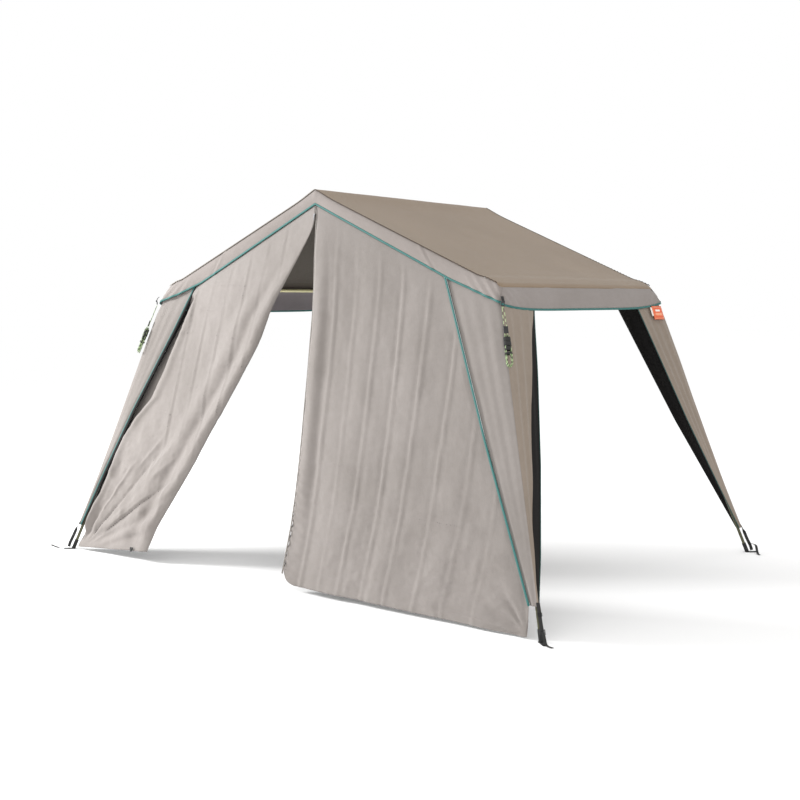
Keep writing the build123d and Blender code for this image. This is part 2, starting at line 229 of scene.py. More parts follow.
def band_mat(name, c1, c2, period=0.006, rough=0.75, axis="X", share=0.5, bump=0.5):
    """Cross-ribbed webbing or braid: fine bands along the piece's UV."""
    m, nt, bsdf = new_mat(name)
    N, L = nt.nodes, nt.links
    uv = N.new("ShaderNodeTexCoord")
    sep = N.new("ShaderNodeSeparateXYZ")
    L.new(uv.outputs["UV"], sep.inputs[0])
    mul = N.new("ShaderNodeMath"); mul.operation = "MULTIPLY"; mul.inputs[1].default_value = 2 * math.pi / period
    L.new(sep.outputs[axis], mul.inputs[0])
    sn = N.new("ShaderNodeMath"); sn.operation = "SINE"
    L.new(mul.outputs[0], sn.inputs[0])
    r = N.new("ShaderNodeValToRGB")
    r.color_ramp.elements[0].position = share
    r.color_ramp.elements[0].color = (*c1, 1)
    r.color_ramp.elements[1].position = min(1, share + 0.25)
    r.color_ramp.elements[1].color = (*c2, 1)
    add = N.new("ShaderNodeMapRange")
    add.inputs["From Min"].default_value = -1; add.inputs["From Max"].default_value = 1
    L.new(sn.outputs[0], add.inputs["Value"])
    L.new(add.outputs[0], r.inputs["Fac"])
    L.new(r.outputs["Color"], bsdf.inputs["Base Color"])
    bsdf.inputs["Roughness"].default_value = rough
    b = N.new("ShaderNodeBump"); b.inputs["Strength"].default_value = bump; b.inputs["Distance"].default_value = 0.0005
    L.new(add.outputs[0], b.inputs["Height"])
    L.new(b.outputs["Normal"], bsdf.inputs["Normal"])
    return m


WALL = lin(136, 130, 126)
ROOF = lin(130, 111, 89)
M = {
    "wall": canvas_mat("wall_canvas", WALL),
    "valance": canvas_mat("valance_canvas", lin(138, 131, 127)),
    "side_wall": canvas_mat("side_wall_canvas", lin(138, 126, 114)),
    "roof": canvas_mat("roof_canvas", ROOF, spread=0.07, crinkle=0.35, sheen=0.25),
    "roof_in": canvas_mat("roof_lining", lin(66, 59, 50), spread=0.08, sheen=0.05),
    "val_in": canvas_mat("valance_lining", lin(128, 122, 125)),
    "black": canvas_mat("black_lining", lin(20, 18, 17), spread=0.15, rough=0.8, sheen=0.0),
    "teal": band_mat("teal_piping", lin(24, 82, 80), lin(48, 118, 112), period=0.004, rough=0.6),
    # a darker copy of the teal piping: painted shade for the bindings away from the light
    "teal_painted_shade": band_mat("teal_piping_shaded", lin(16, 48, 46), lin(34, 86, 80), period=0.004, rough=0.6),
    "web": band_mat("black_webbing", lin(20, 20, 20), lin(52, 52, 50), period=0.0035, rough=0.8),
    "thread": solid_mat("seam_thread", lin(150, 138, 128), rough=0.8, scale=200),
    # one roof-edge binding in two tones: the dark copy is painted shade, the pale copy is painted light
    "seam": canvas_mat("seam_binding", lin(74, 62, 52), spread=0.12),
    "seam_painted_light": canvas_mat("roof_edge_binding_painted_light", lin(138, 131, 124), spread=0.08),
    "label": canvas_mat("label_cloth", lin(226, 96, 52), thread=0.0016, spread=0.08, rough=0.6),
    "label_edge": canvas_mat("label_border", lin(240, 160, 120), thread=0.0016, spread=0.06, rough=0.6),
    "label_pale": canvas_mat("label_pale", lin(238, 232, 224), thread=0.0016, spread=0.04, rough=0.6),
    "plastic": solid_mat("black_plastic", lin(30, 30, 31), rough=0.45, scale=60),
    "rubber": solid_mat("boot_rubber", lin(26, 26, 26), rough=0.8, scale=80, bump=0.5),
    "steel": solid_mat("dark_pole_steel", lin(62, 63, 50), rough=0.42, metal=0.55, scale=18, bump=0.12),
    "inner_steel": solid_mat("inner_pole_steel", lin(84, 84, 64), rough=0.35, metal=0.7, scale=18, bump=0.1),
    # pale yellow eave bar: a painted highlight, the light on the tube taken as its colour
    "pale": solid_mat("pale_pole_paint", lin(226, 220, 170), rough=0.4, scale=14, noise=0.05, bump=0.1),
    "plated": solid_mat("plated_steel", lin(120, 120, 122), rough=0.3, metal=1.0, scale=60, bump=0.08),
    "zip": band_mat("zip_teeth", lin(60, 56, 52), lin(150, 142, 134), period=0.0030, rough=0.5, bump=0.8),
    "rope": band_mat("guy_rope_braid", lin(64, 74, 52), lin(168, 190, 140), period=0.009, rough=0.65, share=0.30, bump=0.6),
}


# ------------------------------------------------------------------ mesh helpers
def build(name, verts, faces, mats, fmat=None, uvs=None, shade=True):
    me = bpy.data.meshes.new(name)
    me.from_pydata([tuple(v) for v in verts], [], [tuple(f) for f in faces])
    for m in mats:
        me.materials.append(m)
    if fmat is not None:
        me.polygons.foreach_set("material_index", np.asarray(fmat, np.int32))
    if uvs is not None:
        lay = me.uv_layers.new(name="UVMap")
        idx = np.zeros(len(me.loops), np.int32)
        me.loops.foreach_get("vertex_index", idx)
        lay.data.foreach_set("uv", np.asarray(uvs, float)[idx].astype(np.float32).ravel())
    me.polygons.foreach_set("use_smooth", np.full(len(me.polygons), shade))
    me.update()
    o = bpy.data.objects.new(name, me)
    bpy.context.scene.collection.objects.link(o)
    return o


def grid_normals(P, toward):
    du = np.gradient(P, axis=1)
    dv = np.gradient(P, axis=0)
    n = np.cross(du, dv)
    n /= np.maximum(np.linalg.norm(n, axis=2, keepdims=True), 1e-12)
    if (n.reshape(-1, 3) @ np.array(toward, float)).mean() < 0:
        n = -n
    return n


def cloth(name, P, toward, m_out, m_in, thick=0.0018, uv=None, face_mat=None, extra=()):
    """A closed thin sheet. P is a grid of points on the outer face, toward the rough outward direction."""
    P = np.asarray(P, float)
    ny, nx = P.shape[:2]
    n = grid_normals(P, toward)
    inner = P - n * thick
    verts = np.concatenate([P.reshape(-1, 3), inner.reshape(-1, 3)])
    if uv is None:
        a = np.zeros((ny, nx)); b = np.zeros((ny, nx))
        a[:, 1:] = np.cumsum(np.linalg.norm(np.diff(P, axis=1), axis=2), axis=1)
        b[1:, :] = np.cumsum(np.linalg.norm(np.diff(P, axis=0), axis=2), axis=0)
        uv = np.stack([a, b], 2)
    uvs = np.concatenate([uv.reshape(-1, 2)] * 2)
    i, j = np.meshgrid(np.arange(ny - 1), np.arange(nx - 1), indexing="ij")
    v00 = (i * nx + j).ravel(); v01 = v00 + 1; v10 = v00 + nx; v11 = v10 + 1
    du, dv = P[0, min(1, nx - 1)] - P[0, 0], P[min(1, ny - 1), 0] - P[0, 0]
    mid_n = n[ny // 2, nx // 2]
    c = np.cross(P[ny // 2, nx // 2 + 1] - P[ny // 2, nx // 2], P[ny // 2 + 1, nx // 2] - P[ny // 2, nx // 2])
    same = float(c @ mid_n) > 0
    outer = np.stack([v00, v01, v11, v10], 1) if same else np.stack([v00, v10, v11, v01], 1)
    off = ny * nx
    innerf = outer[:, ::-1] + off
    ring = [(0, k) for k in range(nx)] + [(k, nx - 1) for k in range(1, ny)] + [(ny - 1, k) for k in range(nx - 2, -1, -1)] + [(k, 0) for k in range(ny - 2, 0, -1)]
    ridx = np.array([a * nx + b for a, b in ring])
    nxt = np.roll(ridx, -1)
    side = np.stack([ridx, ridx + off, nxt + off, nxt], 1) if same else np.stack([nxt, nxt + off, ridx + off, ridx], 1)
    faces = np.concatenate([outer, innerf, side])
    fm = np.zeros(len(faces), int)
    fm[len(outer):2 * len(outer)] = 1
    if face_mat is not None:
        fo = face_mat(i.ravel(), j.ravel(), P)
        fm[:len(outer)] = np.where(fo >= 0, fo, fm[:len(outer)])
    return build(name, verts, faces, [m_out, m_in, *extra], fm, uvs)


def resample(pts, n=None, step=None, closed=False):
    pts = np.asarray(pts, float)
    seg = np.linalg.norm(np.diff(pts, axis=0), axis=1)
    s = np.concatenate([[0], np.cumsum(seg)])
    if n is None:
        n = max(2, int(math.ceil(s[-1] / step)) + 1)
    t = np.linspace(0, s[-1], n)
    return np.stack([np.interp(t, s, pts[:, k]) for k in range(3)], 1)


def tube(name, pts, half_w, half_t, flat_normal, mat, seg=10, round_end=True):
    """A closed sleeve along pts with an elliptic section: half_w across, half_t along flat_normal."""
    pts = np.asarray(pts, float)
    n = len(pts)
    tang = np.gradient(pts, axis=0)
    tang /= np.linalg.norm(tang, axis=1, keepdims=True)
    fn = np.broadcast_to(np.asarray(flat_normal, float), (n, 3))
    side = np.cross(tang, fn); side /= np.linalg.norm(side, axis=1, keepdims=True)
    nn = np.cross(side, tang)
    ang = np.linspace(0, 2 * math.pi, seg, endpoint=False)
    rows = []
    s = np.concatenate([[0], np.cumsum(np.linalg.norm(np.diff(pts, axis=0), axis=1))])
    hw = np.broadcast_to(half_w, (n,)); ht = np.broadcast_to(half_t, (n,))
    for k in range(n):
        rows.append(pts[k] + np.outer(np.cos(ang) * hw[k], side[k]) + np.outer(np.sin(ang) * ht[k], nn[k]))
    V = np.concatenate(rows)
    uv = np.stack([np.repeat(s, seg), np.tile(ang / (2 * math.pi) * 0.03, n)], 1)
    F = []
    for k in range(n - 1):
        for a in range(seg):
            b = (a + 1) % seg
            F.append((k * seg + a, k * seg + b, (k + 1) * seg + b, (k + 1) * seg + a))
    c0, c1 = len(V), len(V) + 1
    V = np.concatenate([V, [pts[0] - tang[0] * half_t * 0.4, pts[-1] + tang[-1] * half_t * 0.4]])
    uv = np.concatenate([uv, [[0, 0], [s[-1], 0]]])
    for a in range(seg):
        b = (a + 1) % seg
        F.append((c0, b, a))
        F.append((c1, (n - 1) * seg + a, (n - 1) * seg + b))
    return build(name, V, F, [mat], uvs=uv)


def box_piece(name, center, axes, size, mat, bevel=0.002, segments=2):
    """A rounded block: axes are three unit vectors, size the full lengths along them."""
    c = np.array(center, float)
    A = [np.array(a, float) / np.linalg.norm(a) for a in axes]
    V = [c + A[0] * size[0] / 2 * i + A[1] * size[1] / 2 * j + A[2] * size[2] / 2 * k for i in (-1, 1) for j in (-1, 1) for k in (-1, 1)]
    F = [(0, 1, 3, 2), (4, 6, 7, 5), (0, 4, 5, 1), (2, 3, 7, 6), (0, 2, 6, 4), (1, 5, 7, 3)]
    if np.dot(np.cross(A[0], A[1]), A[2]) < 0:
        F = [f[::-1] for f in F]
    o = build(name, V, F, [mat], uvs=np.zeros((8, 2)))
    mod = o.modifiers.new("b", "BEVEL"); mod.width = bevel; mod.segments = segments; mod.limit_method = "NONE"
    apply_mods(o)
    return o


def apply_mods(o):
    dg = bpy.context.evaluated_depsgraph_get()
    me = bpy.data.meshes.new_from_object(o.evaluated_get(dg))
    old = o.data
    o.modifiers.clear()
    o.data = me
    bpy.data.meshes.remove(old)
    me.polygons.foreach_set("use_smooth", np.full(len(me.polygons), True))


def join(name, objs):
    """Joins meshes that share one material list into one object."""
    V, F, FM, UV, mats = [], [], [], [], []
    base = 0
    for o in objs:
        me = o.data
        idx = []
        for m in me.materials:
            if m not in mats:
                mats.append(m)
            idx.append(mats.index(m))
        V += [tuple(v.co) for v in me.vertices]
        uv = np.zeros((len(me.vertices), 2))
        if me.uv_layers:
            for lp, d in zip(me.loops, me.uv_layers[0].data):
                uv[lp.vertex_index] = d.uv
        UV.append(uv)
        for p in me.polygons:
            F.append(tuple(v + base for v in p.vertices))
            FM.append(idx[p.material_index] if idx else 0)
        base += len(me.vertices)
        bpy.data.objects.remove(o)
    return build(name, V, F, mats, FM, np.concatenate(UV))


# ------------------------------------------------------------------ geometry shared with the CAD, in metres
def front_y(z):
    return 1.545 - 0.2654 * z


def side_x(z):
    return 2.113 - 0.3253 * z


RIDGE, SL, EX, RY = 2.656, 0.437, 1.503, 1.052
PEAK, KX, KZ, CZ = 2.575, 1.130, 2.050, 1.911
HINGE_Y = -1.044


def flare(z):
    """How far the cloth of a corner stands out beyond the straight corner line at a height."""
    return np.interp(z, [0.19, 0.60, 0.90, 1.20, 1.50, 1.80, 1.92, 1.96], [0.0, 0.007, 0.016, 0.026, 0.038, 0.046, 0.040, 0.030])


FLARE = {(-1, -1): 1.0, (1, -1): 0.16, (-1, 1): 1.0, (1, 1): 1.0}


def corner_pull(sx, y):
    """The share of the full flare along a side valance: its own at each corner, 0.35 in the middle."""
    k = smooth(0.2, RY, np.abs(y)) ** 1.5
    end = np.where(np.asarray(y) < 0, FLARE[(sx, -1)], FLARE[(sx, 1)])
    return 0.35 + (end - 0.35) * k


def roof_z(x):
    return RIDGE - SL * np.abs(x)


def val_bottom(x):
    x = np.abs(x)
    return np.where(x < KX, PEAK - (PEAK - KZ) / KX * x, KZ - (KZ - CZ) / (EX - KX) * (x - KX))


def hinge_z(x):
    return PEAK - 0.010 - (PEAK - KZ) / KX * np.abs(x)


# ------------------------------------------------------------------ roof canopy: one sheet over the ridge
def make_roof():
    nx = int(3.2 / STEP) | 1
    ny = int(2.1 / STEP)
    # across: from left eave, up over the ridge and down; rounded at the ridge and rolled over at the eaves
    s = np.linspace(-1, 1, nx)
    R = 0.030
    cx = EX - 0.002
    xs, zs = [], []
    for t in s:
        a = abs(t) * (cx + 0.020)
        if a <= cx - 0.030:
            x, z = a, RIDGE - SL * a
            z += 0.012 * math.exp(-(a / 0.10) ** 2)           # the ridge rides over the pole
        else:
            k = (a - (cx - 0.030)) / 0.050                     # rolls down over the eave
            x0, z0 = cx - 0.030, RIDGE - SL * (cx - 0.030)
            th0 = math.atan(SL)
            th = th0 + k * (math.radians(78) - th0)
            rr = 0.042
            x = x0 + rr * (math.sin(th) - math.sin(th0))
            z = z0 - rr * (math.cos(th0) - math.cos(th))
        xs.append(math.copysign(x, t)); zs.append(z)
    xs, zs = np.array(xs), np.array(zs)
    y = np.linspace(-RY, RY, ny)
    X, Y = np.meshgrid(xs, y)
    Z = np.tile(zs, (ny, 1))
    # a little sag between the poles, pull lines from the corners, and gathers along the front edge near the corner
    mid = np.clip(1 - (np.abs(X) / EX - 0.5) ** 2 * 4, 0, 1) * np.clip(1 - (Y / RY) ** 2, 0, 1)
    Z -= 0.018 * mid * (1 - smooth(0.80, 0.93, np.abs(X) / EX))
    Z += 0.012 * smooth(0.88, 0.94, np.abs(X) / EX)
    Z += 0.0020 * fbm(X * 2.2, Y * 3.0, 5) * np.clip(1 - (np.abs(Y) / RY) ** 8, 0, 1)
    for sy in (-1, 1):
        d = RY - sy * Y
        pull = np.exp(-d / 0.05) * smooth(0.85, 1.2, np.abs(X)) * (1 - smooth(1.42, 1.50, np.abs(X)))
        Z += 0.0022 * pull * np.sin(np.abs(X) * 2 * math.pi / 0.026 + 3 * vnoise(X * 9, Y * 0, 3))
    P = np.stack([X, Y, Z], 2)
    # round the four eave corners in plan
    for sy in (-1, 1):
        c = smooth(RY - 0.06, RY, sy * Y) * smooth(EX - 0.08, EX, np.abs(X))
        P[..., 2] -= 0.010 * c
        P[..., 1] -= sy * 0.006 * c
    return cloth("roof_canopy_cloth", P, (0, 0, 1), M["roof"], M["roof_in"])


roof = make_roof()
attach(roof, "root"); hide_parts("roof_canopy")


# ------------------------------------------------------------------ valances
def make_gable_valance(sy):
    nx = int(3.0 / STEP) | 1
    ny = 15
    x = np.linspace(-EX + 0.001, EX - 0.001, nx)
    top = roof_z(x) - 0.0030 + 0.012 * np.exp(-(x / 0.10) ** 2) + 0.012 * smooth(0.88, 0.94, np.abs(x) / EX)
    bot = val_bottom(x) - 0.001 - 0.006 * smooth(1.2, EX, np.abs(x))
    r = smooth(EX - 0.05, EX, np.abs(x))
    top = top - 0.016 * r ** 1.5
    v = np.linspace(0, 1, ny)
    X = np.tile(x, (ny, 1))
    Z = top + (bot - top) * v[:, None]
    Vv = np.tile(v[:, None], (1, len(x)))
    off = 0.0022 * fbm(X * 4 + 7, Z * 5, 11) * Vv
    # a pleat near each knee, the seam at the peak, and folds pulled in by the corner ring
    for xk in (-0.93, 0.93):
        q = (X - xk) - np.sign(xk) * 0.10 * (Vv - 0.5)
        off += 0.0050 * fold(q, 0.010) - 0.0040 * fold(q - np.sign(xk) * 0.026, 0.009)
    off += 0.0025 * fold(X, 0.006) * (Vv < 0.98)
    off += 0.0045 * smooth(1.15, 1.45, np.abs(X)) * np.sin((np.abs(X) - Vv * 0.10) * 2 * math.pi / 0.085) * (0.4 + 0.6 * Vv)
    # tiny gathers below the roof seam
    off += 0.0022 * np.exp(-Vv / 0.25) * smooth(0.8, 1.15, np.abs(X)) * np.sin(np.abs(X) * 2 * math.pi / 0.026)
    Y = RY - 0.001 + 0.004 * np.sin(Vv * math.pi) + off
    pull = 0.045 * smooth(1.10, EX, np.abs(X)) * Vv * np.where(X < 0, FLARE[(-1, sy)], FLARE[(1, sy)])
    Y = Y + pull
    X = X + np.sign(X) * pull * smooth(1.30, EX, np.abs(X))
    turn = smooth(EX - 0.035, EX, np.abs(x))[None, :]
    Y = sy * (Y - 0.012 * turn ** 2 - 0.004 * (1 - Vv) ** 6)
    o = cloth("valance_front_cloth" if sy < 0 else "valance_back_cloth", np.stack([X, Y, Z], 2), (0, sy, 0), M["valance"], M["val_in"])
    return o, np.stack([X[-1], Y[-1], Z[-1]], 1)


def make_side_valance(sx):
    ny, n = int(2.1 / STEP), 15
    y = np.linspace(-RY + 0.004, RY - 0.004, ny)
    v = np.linspace(0, 1, n)
    Y = np.tile(y, (n, 1)); Vv = np.tile(v[:, None], (1, ny))
    sag = 1 - np.abs(Y / RY) ** 6
    z0 = 2.0000 - 0.010 * smooth(RY - 0.06, RY, np.abs(Y))
    z1 = 1.900 - (0.042 if sx > 0 else 0.075) * sag
    Z = z0 + (z1 - z0) * Vv
    off = 0.005 * fbm(Y * 2.2, Z * 5, 23) * Vv + 0.006 * np.sin(Vv * math.pi)
    for sy in (-1, 1):
        d = RY - sy * Y                                       # pull folds fan from each corner
        off += 0.006 * np.exp(-d / 0.16) * np.sin(2 * math.pi * (d - 0.16 * Vv) / 0.080) * (0.3 + 0.7 * Vv)
    X = 1.4935 + 0.0115 * smooth(0, 0.25, Vv) + 0.045 * corner_pull(sx, Y) * Vv + off * smooth(0, 0.2, Vv)
    Y = Y + np.sign(Y) * 0.045 * smooth(RY - 0.25, RY, np.abs(Y)) * Vv * np.where(Y < 0, FLARE[(sx, -1)], FLARE[(sx, 1)])
    turn = smooth(RY - 0.035, RY, np.abs(y))[None, :]
    X = sx * (X - 0.010 * turn ** 2)
    o = cloth("valance_right_cloth" if sx > 0 else "valance_left_cloth", np.stack([X, Y, Z], 2), (sx, 0, 0), M["valance"], M["val_in"])
    return o, np.stack([X[-1], Y[-1], Z[-1]], 1)


piping_parts = []
for sy, nm in ((-1, "valance_front"), (1, "valance_back")):
    o, low = make_gable_valance(sy)
    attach(o, "root"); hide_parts(nm)
    low[:, 2] -= 0.004
    piping_parts.append(tube("pipe", low, 0.0072, 0.0036, (0, sy, 0), M["teal"]))
for sx, nm in ((-1, "valance_left"), (1, "valance_right")):
    o, low = make_side_valance(sx)
    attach(o, "root"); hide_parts(nm)
    low[:, 2] -= 0.004
    piping_parts.append(tube("pipe", low, 0.0072, 0.0036, (sx, 0, 0), M["teal"]))
piping = join("valance_piping_binding", piping_parts)
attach(piping, "root"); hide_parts("valance_piping")

# the bound seam where the roof meets each gable valance: one binding, drawn dark on the right half as painted shade and
# pale on the left half as painted light
seams = []
for sy in (-1, 1):
    for sx in (-1, 1):
        x = np.linspace(0.004, EX - 0.03, 121)
        z = roof_z(x) + 0.0005 + 0.012 * np.exp(-(x / 0.10) ** 2) + 0.012 * smooth(0.88, 0.94, x / EX)
        z += 0.0026 * np.sin(x * 2 * math.pi / 0.026) * smooth(0.85, 1.15, x)
        y = sy * (RY + 0.0002) * np.ones_like(x)
        seams.append(tube("seam", np.stack([sx * x, y, z], 1), 0.0030, 0.0020, (0, sy, 0), M["seam"] if sx > 0 else M["seam_painted_light"], seg=8))
o = join("roof_edge_seams", seams)
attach(o, "root")


# ------------------------------------------------------------------ right curtain
XL_TOP, XL_BOT, ZL_TOP, ZL_BOT = 0.006, 0.113, float(hinge_z(0.006)), 0.095
R_EDGE = [(1.071, 2.069), (1.545, 1.082), (1.980, 0.217), (2.000, 0.008)]


def interp_edge(pts, z):
    zz = np.array([p[1] for p in pts])[::-1]; vv = np.array([p[0] for p in pts])[::-1]
    return np.interp(z, zz, vv)


L_EDGE = [(2.565, 0.008), (2.47, 0.026), (2.32, 0.040), (2.187, 0.053), (2.018, 0.076), (1.816, 0.095), (1.616, 0.104), (1.417, 0.114),
          (1.218, 0.121), (1.02, 0.129), (0.823, 0.134), (0.627, 0.135), (0.43, 0.129), (0.298, 0.118), (0.166, 0.104), (0.09, 0.098)]
XL_BOT = 0.098


def x_left(z):
    return np.interp(z, [p[0] for p in L_EDGE][::-1], [p[1] for p in L_EDGE][::-1])


def x_right(z):
    line = (PEAK - 0.010 - z) * KX / (PEAK - KZ)
    return np.where(z > 2.069, line, interp_edge(R_EDGE, z))


def y_right_curtain(x, z):
    yl = HINGE_Y + (-1.512 - HINGE_Y) * (ZL_TOP - z) / (ZL_TOP - ZL_BOT)
    yr = np.where(z > 2.069, HINGE_Y, HINGE_Y + (-1.522 - HINGE_Y) * (2.0697 - z) / (2.0697 - 0.014))
    xl, xr = x_left(z), x_right(z)
    t = np.clip((x - xl) / np.maximum(xr - xl, 1e-4), 0, 1)
    return yl + (yr - yl) * t


def make_right_curtain():
    smax = float(x_right(0.05) - x_left(0.05))
    nc = int(smax / STEP)
    nr = int(2.5 / STEP)
    P = np.zeros((nr, nc, 3)); S = np.zeros((nr, nc)); UZ = np.zeros((nr, nc)); F = np.zeros((nr, nc))
    for j in range(nc):
        s = smax * (j / (nc - 1)) * 0.9995
        # top of this column: on the sewn line or on the slanting edge
        lo, hi = 0.02, ZL_TOP
        for _ in range(40):
            m = (lo + hi) / 2
            if x_left(m) + s <= x_right(m):
                lo = m
            else:
                hi = m
        ztop = lo
        r = 0.13
        zb0 = 0.046 - 0.034 * s / smax
        zbot = zb0 + (r - math.sqrt(max(0.0, r * r - (r - min(s, r)) ** 2))) * 0.75
        zbot = min(zbot, ztop - 0.004)
        z = np.linspace(ztop, zbot, nr)
        x = x_left(z) + s
        P[:, j, 0] = x; P[:, j, 2] = z
        P[:, j, 1] = y_right_curtain(x, z)
        S[:, j] = s; UZ[:, j] = z; F[:, j] = (ztop - z) / max(ztop - zbot, 1e-3)
    X, Z = P[..., 0], P[..., 2]
    T = ZL_TOP - Z                                        # distance down
    held = smooth(0.0, 0.25, hinge_z(X) - Z) * smooth(0.0, 0.05, x_right(Z) - X)   # flat where it is sewn
    d = np.zeros_like(X)
    # long packing creases, straight down and leaning with the inner edge
    for k, (s0, lean, a) in enumerate([(0.175, 0.010, 1.0), (0.345, 0.016, 0.55), (0.52, 0.022, 1.0), (0.70, 0.020, 1.15),
                                       (0.90, 0.026, 1.1), (1.12, 0.028, 1.0), (1.34, 0.030, 0.8), (1.56, 0.030, 0.6)]):
        wob = 0.010 * vnoise(T * 1.7 + 5 * k, 0 * T, 40 + k)
        q = S - s0 + lean * (T - 1.2) + wob
        fade = 0.45 + 0.55 * smooth(0.25, 0.8, T) * (0.7 + 0.3 * vnoise(T * 2.3, 0 * T + k, 50 + k))
        d += a * fade * (0.0085 * fold(q, 0.008) - 0.0050 * bump1(q + 0.022, 0.018) - 0.0030 * bump1(q - 0.03, 0.026))
    # faint level packing creases
    for k, (t0, a) in enumerate([(0.62, 0.5), (1.05, 0.8), (1.42, 1.0), (1.72, 1.0), (1.98, 0.8), (2.2, 0.9)]):
        q = T - t0 + 0.012 * vnoise(S * 3.1, 0 * S + k, 60 + k) - 0.05 * (S - 0.8) * 0.3
        gate = np.clip(0.35 + 0.9 * vnoise(S * 2.6 + k, 0 * S, 70 + k), 0, 1)
        d += a * gate * 0.0055 * fold(q, 0.007)
    # soft bellies between the creases and slow hanging waves
    d += 0.008 * fbm(S * 2.4, T * 1.1, 7, 3) + 0.0035 * np.sin(S * 2 * math.pi / 0.41 + 0.8 * T)
    d += 0.0034 * fbm(S * 9, T * 6, 9, 3) + 0.0030 * crumple(S * 6, T * 4.5, 12)
    # diagonal drag lines towards the lower outer corner and puckers beside the slanting edge
    cx, cz = 1.99, 0.03
    ang = np.arctan2(Z - cz, cx - X); rad = np.hypot(X - cx, Z - cz)
    d += 0.0085 * np.exp(-rad / 0.40) * np.sin(ang * 13 + 2.0 * vnoise(rad * 5, ang * 3, 77)) * smooth(0.02, 0.12, rad)
    edge = x_right(Z) - X
    d += 0.004 * np.exp(-edge / 0.08) * fbm(S * 4, Z * 14, 19, 2) * smooth(0, 0.02, edge)
    # the inner edge bellies outward and curls, with short puckers along it near the hem
    d += (0.015 * bump1(S - 0.055, 0.045) - 0.006 * bump1(S - 0.120, 0.020)) * smooth(0.1, 0.8, T) * (1 - smooth(1.7, 2.2, T))
    d += 0.0050 * np.exp(-S / 0.10) * np.sin(Z * 2 * math.pi / 0.065 + 4 * S / 0.1) * smooth(1.4, 2.1, T)
    # small crumples over the lowest part
    low = smooth(1.65, 2.25, T)
    d += low * 0.0075 * crumple(S * 5.5 + 0.6 * T, T * 7.5 - 0.8 * S, 91, 3) * smooth(0.1, 0.5, S)
    # a hem band 45 mm deep, a little proud, with its stitch line
    hz = Z - Z[-1:, :]
    d += 0.0016 * (1 - smooth(0.040, 0.046, hz)) - 0.0014 * bump1(hz - 0.046, 0.006)
    dist = np.clip(held, 0.03, 1)
    d = d * dist
    P[..., 1] -= d                                        # outward is -Y
    return P, S


P, S = make_right_curtain()
cr = cloth("curtain_right_cloth", P, (0, -1, 0), M["wall"], M["black"])
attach(cr, "curtain_right"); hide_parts("curtain_right")
RIGHT_DIAG = [(1.072, 2.074), (1.545, 1.082), (1.981, 0.217)]


